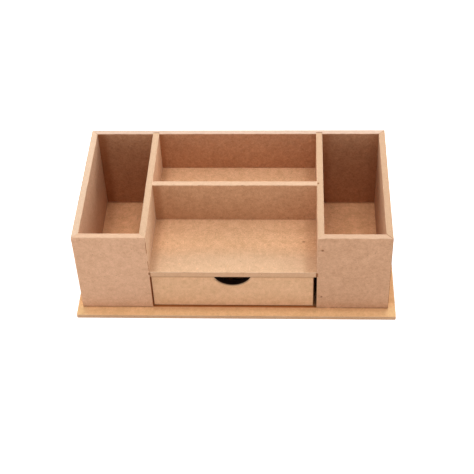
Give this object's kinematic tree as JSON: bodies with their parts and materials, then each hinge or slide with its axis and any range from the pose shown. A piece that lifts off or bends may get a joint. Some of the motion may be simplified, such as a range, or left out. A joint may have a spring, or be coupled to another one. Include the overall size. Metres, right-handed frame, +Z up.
{
  "type": "desk organizer with drawer",
  "caption": "Raw MDF desk organizer with an open bin at each end, a tray with a compartment behind it between them, and a finger-notched drawer that slides out under the tray.",
  "frame": {"origin": "middle of the base board's underside, on the surface that the organizer stands on", "axes": "+X to the right, +Y to the back, +Z up; the drawer opens towards -Y"},
  "size_m": [0.3, 0.169, 0.095],
  "materials": {
    "wall_mdf": "raw MDF, smooth pressed faces and fibrous cut edges",
    "base_mdf": "raw thin MDF, a little yellower",
    "shelf_mdf": "raw MDF, smooth pressed faces",
    "drawer_mdf": "raw MDF, smooth pressed faces and fibrous cut edges",
    "thin_mdf": "raw thin MDF",
    "brad_steel": "dull bright-drawn steel wire"
  },
  "bodies": {
    "case": {"base_board": "base_mdf", "left_outer_wall": "wall_mdf", "right_outer_wall": "wall_mdf", "left_bin_front": "wall_mdf", "right_bin_front": "wall_mdf", "back_panel": "wall_mdf", "left_divider": "wall_mdf", "right_divider": "wall_mdf", "shelf": "shelf_mdf", "middle_divider": "wall_mdf", "right_front_brads": "brad_steel", "back_left_brads": "brad_steel", "back_right_brads": "brad_steel", "shelf_left_brads": "brad_steel", "shelf_right_brads": "brad_steel", "middle_left_brads": "brad_steel", "middle_right_brads": "brad_steel", "base_brads": "brad_steel"},
    "drawer": {"drawer_front": "drawer_mdf", "drawer_left_side": "drawer_mdf", "drawer_right_side": "drawer_mdf", "drawer_back": "drawer_mdf", "drawer_bottom": "thin_mdf", "drawer_left_brads": "brad_steel", "drawer_right_brads": "brad_steel", "drawer_bottom_brads": "brad_steel"}
  },
  "joints": [
    {"name": "drawer_slide", "type": "slide", "parent": "case", "child": "drawer", "axis": [0, -1, 0], "range_m": [0, 0.122]}
  ]
}
